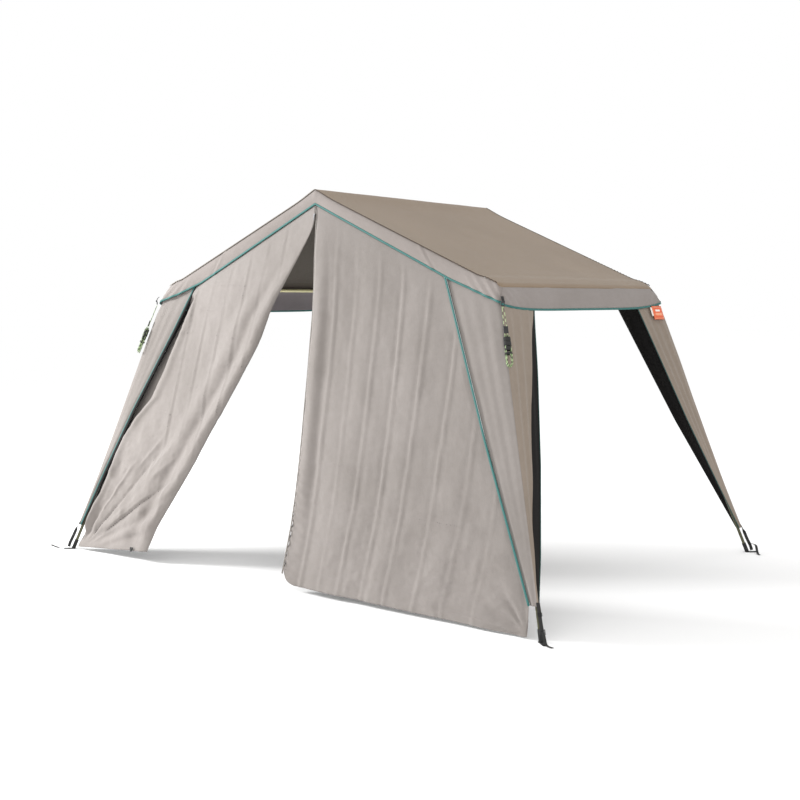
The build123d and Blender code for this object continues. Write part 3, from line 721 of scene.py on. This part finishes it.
# ------------------------------------------------------------------ left curtain, drawn to the left foot
def make_left_curtain():
    nr, nc = int(2.6 / STEP), int(1.25 / STEP)
    li = [(0.004, 2.563), (-0.010, 2.486), (0.000, 2.405), (0.062, 2.278), (0.133, 2.142), (0.213, 2.006), (0.290, 1.862), (0.374, 1.605),
          (0.494, 1.393), (0.615, 1.179), (0.748, 0.960), (0.872, 0.740), (1.009, 0.514), (1.159, 0.284), (1.245, 0.084)]
    lo = [(1.185, 2.0145), (1.440, 1.560), (1.694, 1.079), (1.860, 0.640), (2.022, 0.190), (2.036, 0.022)]

    def along(pts, n, rounds):
        p = np.array(pts); s = np.concatenate([[0], np.cumsum(np.hypot(*np.diff(p, axis=0).T))])
        t = np.linspace(0, s[-1], n)
        k = np.stack([np.interp(t, s, p[:, 0]), np.interp(t, s, p[:, 1])], 1)
        for _ in range(rounds):
            k[1:-1] = (k[:-2] + 2 * k[1:-1] + k[2:]) / 4
        return k
    a, b = along(li, nr, 10), along(lo, nr, 10)
    f = np.linspace(0, 1, nr)[:, None]
    u = np.linspace(0, 1, nc)[None, :]
    # rows start along the sewn line and turn gradually to run from the inner to the outer edge
    X = a[:, :1] + (b[:, :1] - a[:, :1]) * u
    Z = a[:, 1:] + (b[:, 1:] - a[:, 1:]) * u
    y_in = HINGE_Y + (-1.512 - HINGE_Y) * (a[:, 1:] - a[0, 1]) / (a[-1, 1] - a[0, 1])
    y_out = HINGE_Y + (-1.520 - HINGE_Y) * (b[:, 1:] - b[0, 1]) / (b[-1, 1] - b[0, 1])
    Y = y_in + (y_out - y_in) * u
    W = np.hypot(b[:, :1] - a[:, :1], b[:, 1:] - a[:, 1:])
    dI, dO = u * W, (1 - u) * W                            # distance from the inner and the outer edge
    d = np.zeros_like(X)
    # the rolled inner edge: a soft tube of cloth along the sweep with a valley beside it
    roll = smooth(0.06, 0.35, f)
    d += 0.042 * roll * np.sqrt(np.clip(dI / 0.07, 0, 1)) * np.exp(-(dI / 0.15) ** 2)
    d += 0.020 * roll * bump1(dI - 0.33, 0.10) - 0.010 * roll * bump1(dI - 0.20, 0.05)
    # the cloth falls back from the wing's bound edge in a long scalloped hollow
    wid = np.interp(f, [0.0, 0.06, 0.20, 0.34, 0.46, 0.53, 0.60, 0.75, 0.9, 1.0], [0.02, 0.07, 0.13, 0.17, 0.19, 0.10, 0.06, 0.07, 0.05, 0.02])
    for _ in range(3):
        wid[1:-1] = (wid[:-2] + 2 * wid[1:-1] + wid[2:]) / 4
    back = 1 - smooth(0.72, 1.12, dO / wid)
    d -= 0.050 * back * smooth(0.02, 0.10, f) * (1 - smooth(0.93, 1.0, f))
    d += 0.014 * bump1(dO - wid * 1.35, 0.045) * smooth(0.04, 0.14, f) * (1 - smooth(0.9, 1.0, f))
    # packing creases: upright and level over the upper half
    up = 1 - smooth(0.55, 0.80, f)
    for k, x0 in enumerate((0.30, 0.47, 0.64, 0.82, 1.00, 1.18)):
        q = X - x0 + 0.06 * (Z - 1.7) + 0.008 * vnoise(Z * 3, 0 * Z + k, 150 + k)
        d += up * (0.0065 * fold(q, 0.007) - 0.0040 * bump1(q + 0.022, 0.016)) * (0.6 + 0.4 * vnoise(Z * 2 + k, 0 * Z, 155 + k))
    for k, z0 in enumerate((2.02, 1.84, 1.66, 1.47, 1.27, 1.06)):
        q = Z - z0 - 0.05 * (X - 0.8) + 0.008 * vnoise(X * 4, 0 * X + k, 130 + k)
        d += up * 0.0058 * fold(q, 0.007) * np.clip(0.55 + 0.8 * vnoise(X * 4 + 3 * k, 0 * X, 140 + k), 0, 1)
    # drag folds that fan up out of the left foot across the lower half
    low = smooth(0.42, 0.72, f)
    cx, cz = 2.05, -0.02
    ang = np.arctan2(Z - cz, cx - X); rad = np.hypot(X - cx, Z - cz)
    far = smooth(0.05, 0.30, rad) * (1 - smooth(0.9, 1.45, rad))
    n1 = vnoise(ang * 5.5 + 2.3, rad * 0.9, 160)
    soft = smooth(0.0, 0.14, dI)
    d += 0.024 * low * far * soft * (np.sqrt(np.abs(n1) + 0.02) - 0.45)
    n2 = vnoise(ang * 11 + 4.1, rad * 1.6 + 3, 165)
    d += 0.010 * low * far * soft * (1 - 2 * np.abs(n2))
    d += low * 0.0120 * crumple(X * 4.5 + 0.8 * Z, Z * 5.5 - 1.4 * X, 170, 4) * smooth(0.0, 0.10, dI)
    d += 0.0050 * fbm(X * 3.5, Z * 3.0, 180, 3) + 0.0036 * crumple(X * 6, Z * 6, 190, 3)
    hem = (1 - f) * 2.5
    d -= 0.020 * bump1(hem - 0.10, 0.07) * smooth(0.05, 0.3, dI)
    d += 0.0020 * (1 - smooth(0.040, 0.046, hem)) - 0.0016 * bump1(hem - 0.046, 0.006)
    d = d * smooth(0.0, 0.14, f * 2.5) * (0.45 + 0.55 * smooth(0.0, 0.20, hem))
    Y = Y - d - 0.003 * smooth(0.0, 0.1, f)
    Z = np.minimum(np.maximum(Z, 0.012), hinge_z(X) + 0.004)
    return np.stack([-X, Y, Z], 2)


P = make_left_curtain()
LEFT_P = P
cl = cloth("curtain_left_cloth", P, (0, -1, 0), M["wall"], M["black"])
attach(cl, "curtain_left"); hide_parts("curtain_left")

# peg loop on the left curtain's hem
pc = LEFT_P[-1, int(LEFT_P.shape[1] * 0.20)]
t = np.linspace(0, math.pi, 15)
loop = np.stack([pc[0] + 0.010 * np.cos(t), np.full(15, pc[1] - 0.006) - 0.010 * np.sin(t), pc[2] + 0.026 - 0.022 * np.sin(t)], 1)
o = tube("curtain_left_peg_loop", loop, 0.009, 0.0016, (0, -1, 0), M["web"], seg=8)
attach(o, "curtain_left")


# ------------------------------------------------------------------ corner wings
INNER = {
    "front_right": [(1.078, 2.080), (1.549, 1.082), (1.985, 0.217), (1.999, 0.190)],
    "front_left": [(1.195, 2.045), (1.358, 1.690), (1.662, 1.079), (1.868, 0.600), (2.032, 0.190)],
    "back_left": [(1.160, 1.990), (1.180, 1.900), (1.590, 1.001), (2.008, 0.190)],
    "back_right": [(1.160, 1.990), (1.180, 1.900), (1.590, 1.001), (2.008, 0.190)],
}
FREE = [(0.735, 1.955), (0.745, 1.867), (1.072, 1.030), (1.447, 0.218), (1.458, 0.190)]
CORNERS = {"front_left": (-1, -1), "front_right": (1, -1), "back_left": (-1, 1), "back_right": (1, 1)}


def make_wing(corner):
    sx, sy = CORNERS[corner]
    front = sy < 0
    n1, nr = int(0.42 / STEP), int(1.9 / STEP)
    inner = INNER[corner]
    z_in0 = inner[0][1]
    y_top = 1.034
    f = np.linspace(0, 1, nr)
    zi = z_in0 + (0.190 - z_in0) * f
    zo = 1.955 + (0.190 - 1.955) * f
    xi = interp_edge(inner, zi)
    yi = y_top + (front_y(0.190) - y_top) * f
    A = np.stack([xi, yi, zi], 1)                                   # inner edge of the gable side panel
    fl = flare(zo) * FLARE[(sx, sy)]
    C = np.stack([side_x(zo) + fl, front_y(zo) + fl, zo], 1)        # the sewn corner over the leg
    turned = front and sx > 0                                       # this one's free edge is turned out, lining outward
    if turned:
        fx = interp_edge([(0.640, 1.955), (0.668, 1.867), (0.689, 1.823), (0.773, 1.637), (0.937, 1.278), (1.094, 0.934), (1.264, 0.609), (1.427, 0.299), (1.484, 0.190)], zo)
        sw = np.interp(zo, [0.19, 0.30, 0.60, 0.93, 1.28, 1.73, 1.823, 1.90, 1.955], [0.010, 0.036, 0.078, 0.082, 0.078, 0.036, 0.016, 0.006, 0.003])
    else:
        fx = interp_edge(FREE, zo)
        sw = np.full(nr, 0.004)
    sw = np.minimum(sw, 0.9 * (front_y(zo) - fx))
    Fp = np.stack([side_x(zo) + fl * 0.4, fx, zo], 1)               # free edge on the long side
    Bp = np.stack([side_x(zo) + fl * 0.4, fx + sw, zo], 1)          # where the lining starts to show
    n3 = 7 if turned else 3
    n2 = int(0.36 / STEP) + n3 - 1
    P = np.zeros((nr, n1 + n2 - 1, 3))
    for j in range(n1):
        t = j / (n1 - 1)
        P[:, j] = A + (C - A) * t
    nb = n2 - n3                                                    # columns of outer cloth on the long side
    for j in range(1, nb + 1):
        t = j / nb
        P[:, n1 - 1 + j] = C + (Bp - C) * t
    for j in range(1, n3):
        t = j / (n3 - 1)
        P[:, n1 - 1 + nb + j] = Bp + (Fp - Bp) * t
    col_strip = n1 - 1 + nb
    # round the corner over the leg
    for _ in range(5):
        Q = P.copy()
        Q[:, 1:-1] = (P[:, :-2] + 2 * P[:, 1:-1] + P[:, 2:]) / 4
        k = np.exp(-((np.arange(P.shape[1]) - (n1 - 1)) / (0.05 / STEP)) ** 2)[None, :, None]
        P = P * (1 - k) + Q * k
    n = grid_normals(P, (1, 1, 0.2))
    w = np.linalg.norm(np.diff(P, axis=1), axis=2)
    s = np.concatenate([np.zeros((nr, 1)), np.cumsum(w, axis=1)], axis=1)
    sc = s[:, n1 - 1:n1]
    q = s - sc                                                       # signed distance from the corner
    T = f[:, None] * 1.9
    seed = {"front_left": 3, "front_right": 5, "back_left": 8, "back_right": 13}[corner]
    width = s[:, -1:] + 1e-6
    inside = smooth(0, 0.03, s) * smooth(0, 0.02, width - s)
    amp = smooth(0.0, 0.25, T)
    off = 0.0050 * fbm(q * 5, T * 0.9, seed, 3) * amp
    # long drag folds from the top to the foot on both panels
    for k, r in enumerate((0.22, 0.5, 0.78)):
        line = -sc * r
        off += 0.0045 * amp * bump1(q - line + 0.006 * vnoise(T * 2, 0 * T + k, seed + 20 + k), 0.020 + 0.02 * (1 - f[:, None]))
        line2 = (width - sc) * r
        off += 0.0050 * amp * (bump1(q - line2 + 0.006 * vnoise(T * 2.4, 0 * T + k, seed + 30 + k), 0.018) - 0.6 * bump1(q - line2 - 0.035, 0.018))
    off += 0.0012 * crumple(q * 7, T * 5, seed + 40) * amp
    off += 0.0020 * bump1(q, 0.006)                                   # the felled seam over the leg
    off = off * np.clip(inside, 0.0, 1) * np.clip(1 - 0.6 * bump1(q, 0.02), 0, 1)
    P = P + n * off[..., None]
    # the front right wing's free edge is turned out, so its black lining shows
    if turned:
        k = np.clip((np.arange(P.shape[1]) - col_strip + 2) / (n3 + 1.0), 0, 1)[None, :]
        P[..., 0] += 0.010 * smooth(0.10, 0.6, T) * k * (1 - smooth(1.6, 1.9, T))
    P[..., 0] *= sx
    P[..., 1] *= sy

    def face_mat(i, j, PP):
        out = np.where(j >= n1 - 1, 2, -1)
        return np.where(j >= col_strip, 1, out) if turned else out
    o = cloth("corner_wing_%s_cloth" % corner, P, (sx, sy, 0), M["wall"], M["black"], face_mat=face_mat, extra=(M["side_wall"],))
    return o, P, n1


for corner, (sx, sy) in CORNERS.items():
    o, P, n1 = make_wing(corner)
    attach(o, "root"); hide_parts("corner_wing_" + corner)
    area = 0.5
    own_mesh(o)
    # bound edges: teal on the front panels' inner edge, thin teal darkened as painted shade on the free edges and the
    # back panels' inner edge
    e0 = P[:, 0] + (np.array([-0.004, -0.0085, 0]) if corner == "front_right" else np.array([0, sy * 0.0025, 0]))
    e1 = P[:, -1]
    if sy < 0:
        b = tube("wing_binding_%s" % corner, resample(e0, step=0.02), 0.0078 if sx > 0 else 0.0060, 0.0042, (0, sy, 0), M["teal"])
        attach(b, "root"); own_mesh(b)
        if sx < 0:
            # a black strip beside the teal binding: the black lining of the wing's turned edge, and painted shadow of
            # the gap between wing and curtain
            e = resample(P[:, 0] + np.array([0.015, sy * 0.003, 0]), step=0.03)
            k = np.linspace(0, 1, len(e))
            b = tube("wing_lining_and_shadow_strip_%s" % corner, e, 0.005 + 0.008 * np.sin(math.pi * k) ** 0.6, 0.0024, (0, sy, 0), M["black"], seg=8)
            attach(b, "root"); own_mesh(b)
    else:
        b = tube("wing_binding_%s" % corner, resample(e0, step=0.03), 0.0035, 0.0030, (0, sy, 0), M["teal_painted_shade"], seg=8)
        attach(b, "root"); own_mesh(b)
    b = tube("wing_free_binding_%s" % corner, resample(e1, step=0.03), 0.0040, 0.0030, (sx, 0, 0), M["teal_painted_shade"], seg=8)
    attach(b, "root"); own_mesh(b)


# ------------------------------------------------------------------ label: a blank patch with a stitched border
def on_side(y, z, out):
    fx = float(interp_edge(FREE, z)); fl = float(flare(z))
    t = min(1.0, max(0.0, (y - fx) / (front_y(z) + fl - fx)))
    return np.array([side_x(z) + fl * (0.4 + 0.6 * t) + out + 0.006, y, z])


def patch(name, y0, y1, z0, z1, out, mat, thick=0.0014):
    ys, zs = np.linspace(y0, y1, 13), np.linspace(z1, z0, 9)
    P = np.array([[on_side(y, z, out + 0.0015 * math.sin((y - y0) / (y1 - y0) * math.pi)) for y in ys] for z in zs])
    return cloth(name, P, (1, 0, 0.3), mat, mat, thick=thick)


parts = [patch("p", 0.925, 1.062, 1.774, 1.872, 0.0105, M["label"], 0.0030), patch("p", 0.931, 1.056, 1.780, 1.866, 0.0112, M["label_edge"], 0.0005),
         patch("p", 0.936, 1.051, 1.785, 1.861, 0.0118, M["label"], 0.0005), patch("p", 0.955, 1.030, 1.832, 1.846, 0.0124, M["label_pale"], 0.0005),
         patch("p", 0.948, 1.038, 1.803, 1.822, 0.0124, M["label_edge"], 0.0005)]
o = join("label_patch_cloth", parts)
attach(o, "root"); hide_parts("label_patch")
o = join("label_tab", [patch("p", 0.900, 0.922, 1.800, 1.862, 0.0110, M["label_pale"], 0.002)])
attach(o, "root")


# ------------------------------------------------------------------ foot straps
def strap_set(corner):
    sx, sy = CORNERS[corner]
    o = np.array([sx * 0.77, sy * 0.64, 0]); w = np.array([-o[1], o[0], 0])
    top = np.array([sx * (side_x(0.192) - 0.006), sy * (front_y(0.192) - 0.006), 0.215]) + o * 0.004
    mid = np.array([sx * (side_x(0.10) - 0.002), sy * (front_y(0.10) - 0.002), 0.105]) + o * 0.012
    G = np.array([sx * 2.093, sy * 1.525, 0.0])
    low = G + o * 0.034 + np.array([0, 0, 0.016])
    pts = resample([top, top * 0.5 + mid * 0.5 + o * 0.002, mid, mid * 0.4 + low * 0.6 + o * 0.004, low], n=26)
    for _ in range(3):
        pts[1:-1] = (pts[:-2] + 2 * pts[1:-1] + pts[2:]) / 4
    k = np.linspace(0, 1, len(pts))[:, None]
    turn = smooth(0.10, 0.45, k) if sx * sy > 0 else 0 * k          # these two straps carry a quarter turn
    nrm = o * (1 - turn) + w * turn
    nrm /= np.linalg.norm(nrm, axis=1, keepdims=True)
    parts = [tube("s", pts, 0.0115, 0.0013, nrm, M["web"], seg=8)]
    # three-bar buckle a third of the way up and the folded keeper under it
    b = mid * 0.55 + low * 0.45 + o * 0.006
    dirv = (mid - low) / np.linalg.norm(mid - low)
    for k in (-1, 0, 1):
        parts.append(box_piece("b", b + dirv * (k * 0.011), (w, dirv, o), (0.034, 0.0045, 0.0045), M["plastic"], 0.0012))
    for k in (-1, 1):
        parts.append(box_piece("b", b + w * (k * 0.0155), (w, dirv, o), (0.0045, 0.030, 0.0050), M["plastic"], 0.0012))
    parts.append(box_piece("k", top * 0.45 + mid * 0.55 + o * 0.004, (w, dirv, o), (0.028, 0.020, 0.0055), M["web"], 0.0015))
    # the loose tail: over the buckle, out, and along the ground
    if corner == "front_left":
        tail = [b + o * 0.004, b + o * 0.020 - dirv * 0.02, G + o * 0.085 + [0, 0, 0.018], G + o * 0.110 + [-0.02, 0.01, 0.006], np.array([-2.245, -1.572, 0.0045]), np.array([-2.300, -1.562, 0.0045]), np.array([-2.328, -1.556, 0.007])]
    elif corner == "front_right":
        tail = [b + o * 0.004, b + o * 0.020 - dirv * 0.02, G + o * 0.062 + [0, 0, 0.020], G + o * 0.075 + [0, 0, 0.007], np.array([2.170, -1.580, 0.0045]), np.array([2.206, -1.592, 0.007])]
    elif corner == "back_right":
        tail = [b + o * 0.004, b + o * 0.030 - dirv * 0.005, G + np.array([0.060, 0.02, 0.055]), G + np.array([0.086, -0.02, 0.012]), np.array([2.196, 1.480, 0.0045]), np.array([2.214, 1.460, 0.006])]
    else:
        tail = [b + o * 0.004, b + o * 0.020 - dirv * 0.02, G + o * 0.070 + [0, 0, 0.018], G + o * 0.095 + [0, 0, 0.006], np.array([-2.205, 1.585, 0.0045]), np.array([-2.240, 1.600, 0.007])]
    pts = resample(tail, n=34)
    for _ in range(4):
        pts[1:-1] = (pts[:-2] + 2 * pts[1:-1] + pts[2:]) / 4
    tang = np.gradient(pts, axis=0)
    nrm = np.cross(np.cross(tang, np.array([0, 0, 1.0])), tang)
    parts.append(tube("t", pts, 0.0095, 0.0012, nrm, M["web"], seg=8))
    j = join("foot_strap_%s_webbing" % corner, parts)
    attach(j, "lower_leg_" + corner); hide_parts("foot_strap_" + corner)


for corner in CORNERS:
    strap_set(corner)


# ------------------------------------------------------------------ guy ropes: two strands and a tied hank
SHIFT = {-1: 0.052, 1: 0.012}                # how far each ring stands out with its flared corner


def rope_route(sx):
    o = np.array([sx * 0.77, -0.64, 0]); w = np.array([-o[1], o[0], 0])
    e = np.array([sx * 0.621, -0.503, -1.955]); e /= np.linalg.norm(e)
    S0 = np.array([sx * 1.524, -1.068, 1.876]) + o * SHIFT[sx]
    q = np.cross(w, e); q = q if q @ o > 0 else -q                 # square to the hank, away from the cloth
    strand = lambda k: [S0 + w * (k * 0.003), S0 + e * 0.040 + w * (k * 0.008) + o * 0.003, S0 + e * 0.086 + w * (k * 0.006) + o * 0.001,
                        S0 + e * 0.130 + w * (k * 0.009) + o * 0.004, S0 + e * 0.168 + w * (k * 0.007) + o * 0.003]
    hc = S0 + e * 0.279 + o * 0.004
    pts = list(strand(-1))
    rng = np.random.RandomState(4 if sx < 0 else 9)
    turns = 6
    for k in range(turns):
        dep = (k - (turns - 1) / 2) * 0.0037
        hw = 0.0115 + 0.0035 * rng.rand() + 0.003 * abs(k - 2.5) / 2.5
        top = -0.088 + 0.010 * rng.rand(); bot = 0.084 + 0.018 * rng.rand()
        tilt = 0.006 * (rng.rand() - 0.5)
        for a in range(14):
            th = a / 14 * 2 * math.pi
            # a long loop: down one side, round, and back up the other
            if a <= 3:
                u, v = -1, top + (bot - top) * (a + 0.5) / 4
            elif a <= 6:
                phi = (a - 3.5) / 3 * math.pi
                u, v = -math.cos(phi), bot + 0.010 * math.sin(phi)
            elif a <= 10:
                u, v = 1, bot + (top - bot) * (a - 7 + 0.5) / 4
            else:
                phi = (a - 10.5) / 3 * math.pi
                u, v = math.cos(phi), top - 0.010 * math.sin(phi)
            fan = 1 + 0.35 * max(0.0, v / bot) * (0.3 + rng.rand() * 0.7)
            pts.append(hc + e * v + w * (u * hw * fan + tilt) + q * (dep + 0.0006 * (a - 7) / 7))
    pts += [hc - e * 0.096 + w * 0.004 + q * 0.008] + list(reversed(strand(1)))
    return np.array(pts), hc, e, w, o, q, S0


for side, sx in (("left", -1), ("right", 1)):
    pts, hc, e, w, o, q, S0 = rope_route(sx)
    cu = bpy.data.curves.new("guy_rope_%s_cord" % side, "CURVE")
    cu.dimensions = "3D"
    sp = cu.splines.new("NURBS")
    sp.points.add(len(pts) - 1)
    for p, c in zip(sp.points, pts):
        p.co = (*c, 1)
    sp.order_u = 3
    sp.use_endpoint_u = True
    cu.resolution_u = 8
    cu.bevel_depth = 0.00175
    cu.bevel_resolution = 3
    cu.materials.append(M["rope"])
    ob = bpy.data.objects.new("guy_rope_%s_cord" % side, cu)
    bpy.context.scene.collection.objects.link(ob)
    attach(ob, "guy_" + side)
    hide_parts("guy_rope_" + side, "guy_hank_" + side)
    # runner on the strands, and a tie round the hank's waist
    parts = []
    rc = S0 + e * 0.150 + o * 0.003
    parts.append(box_piece("r", rc + q * 0.004, (w, e, q), (0.030, 0.046, 0.0055), M["plastic"], 0.002, 3))
    for v, ww in ((-0.068, 0.026), (-0.040, 0.028), (-0.011, 0.028), (0.022, 0.012)):
        th = np.linspace(0, 2 * math.pi, 33)
        fat = 1.0 + 0.10 * math.sin(v * 90)
        ring = np.array([hc + e * v + w * (0.0215 * fat * math.cos(t)) + q * (0.0160 * fat * math.sin(t)) for t in th])
        nrm = np.array([w * (math.cos(t) / 0.0205) + q * (math.sin(t) / 0.0155) for t in th])
        parts.append(tube("tie", ring, ww / 2, 0.0012, nrm, M["web"], seg=8))
    j = join("guy_runner_%s_piece" % side, parts)
    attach(j, "guy_" + side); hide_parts("guy_runner_" + side)
    # D-ring and its webbing tab
    R = np.array([sx * 1.524, -1.068, 1.893]) + o * SHIFT[sx]
    t = np.linspace(0, 2 * math.pi, 41)
    ring = np.array([R + w * (0.011 * math.cos(a)) + np.array([0, 0, 0.011 * math.sin(a)]) for a in t])
    parts = [tube("ring", ring, 0.0024, 0.0024, o, M["plastic"], seg=10)]
    tab = resample([R + np.array([0, 0, 0.010]) + o * 0.004, R + np.array([0, 0, 0.020]) + o * 0.003, R + np.array([0, 0, 0.034]) - o * 0.004, R + np.array([0, 0, 0.046]) - o * 0.016], n=14)
    parts.append(tube("tab", tab, 0.0095, 0.0020, o, M["web"], seg=8))
    parts.append(box_piece("clip", R + np.array([0, 0, 0.014]) + o * 0.004, (w, (0, 0, 1), o), (0.024, 0.013, 0.008), M["plastic"], 0.002, 2))
    j = join("d_ring_%s_piece" % side, parts)
    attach(j, "root")
    if side == "left":
        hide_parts("d_rings")

# ------------------------------------------------------------------ zip
zt = np.array([XL_TOP, HINGE_Y, ZL_TOP]); zb = np.array([XL_BOT, -1.512, ZL_BOT])
line = resample([zt + (zb - zt) * 0.004, zb], n=60)
zz = np.linspace(ZL_TOP - 0.006, 0.11, 80)
L = np.stack([x_left(zz) - 0.004, y_right_curtain(x_left(zz), zz) - 0.001, zz], 1)
ztape = tube("zip_tape_teeth", L, 0.0060, 0.0016, (0, -1, 0), M["zip"], seg=8)
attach(ztape, "curtain_right"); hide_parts("zip_tape")


# ------------------------------------------------------------------ the CAD nodes that show as they are
def paint(node, mat):
    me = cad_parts[node].data
    if not me.materials:
        me.materials.append(mat)
    for k in range(len(me.materials)):
        me.materials[k] = mat


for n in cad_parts:
    if n.startswith(("ridge_pole", "rafter", "upper_leg")):
        paint(n, M["steel"])
    elif n.startswith("lower_leg"):
        paint(n, M["inner_steel"])
    elif n.startswith("eave_bar"):
        # the eave bars carry the pale yellow painted highlight
        paint(n, M["pale"])
    elif n.startswith(("ridge_hub", "corner_bracket", "leg_collar", "cam_lever")):
        paint(n, M["plastic"])
    elif n.startswith("foot_boot"):
        paint(n, M["rubber"])
    elif n.startswith(("hinge_pins", "zip_slider")):
        paint(n, M["plated"])

# ------------------------------------------------------------------ floor
me = bpy.data.meshes.new("floor")
me.from_pydata([(-60, -60, 0), (60, -60, 0), (60, 60, 0), (-60, 60, 0)], [], [(0, 1, 2, 3)])
floor = bpy.data.objects.new("floor", me)
bpy.context.scene.collection.objects.link(floor)
fm, nt, bsdf = new_mat("floor_paint")
bsdf.inputs["Base Color"].default_value = (1.0, 1.0, 1.0, 1)
bsdf.inputs["Roughness"].default_value = 0.9
bsdf.inputs["Specular IOR Level"].default_value = 0.0
me.materials.append(fm)
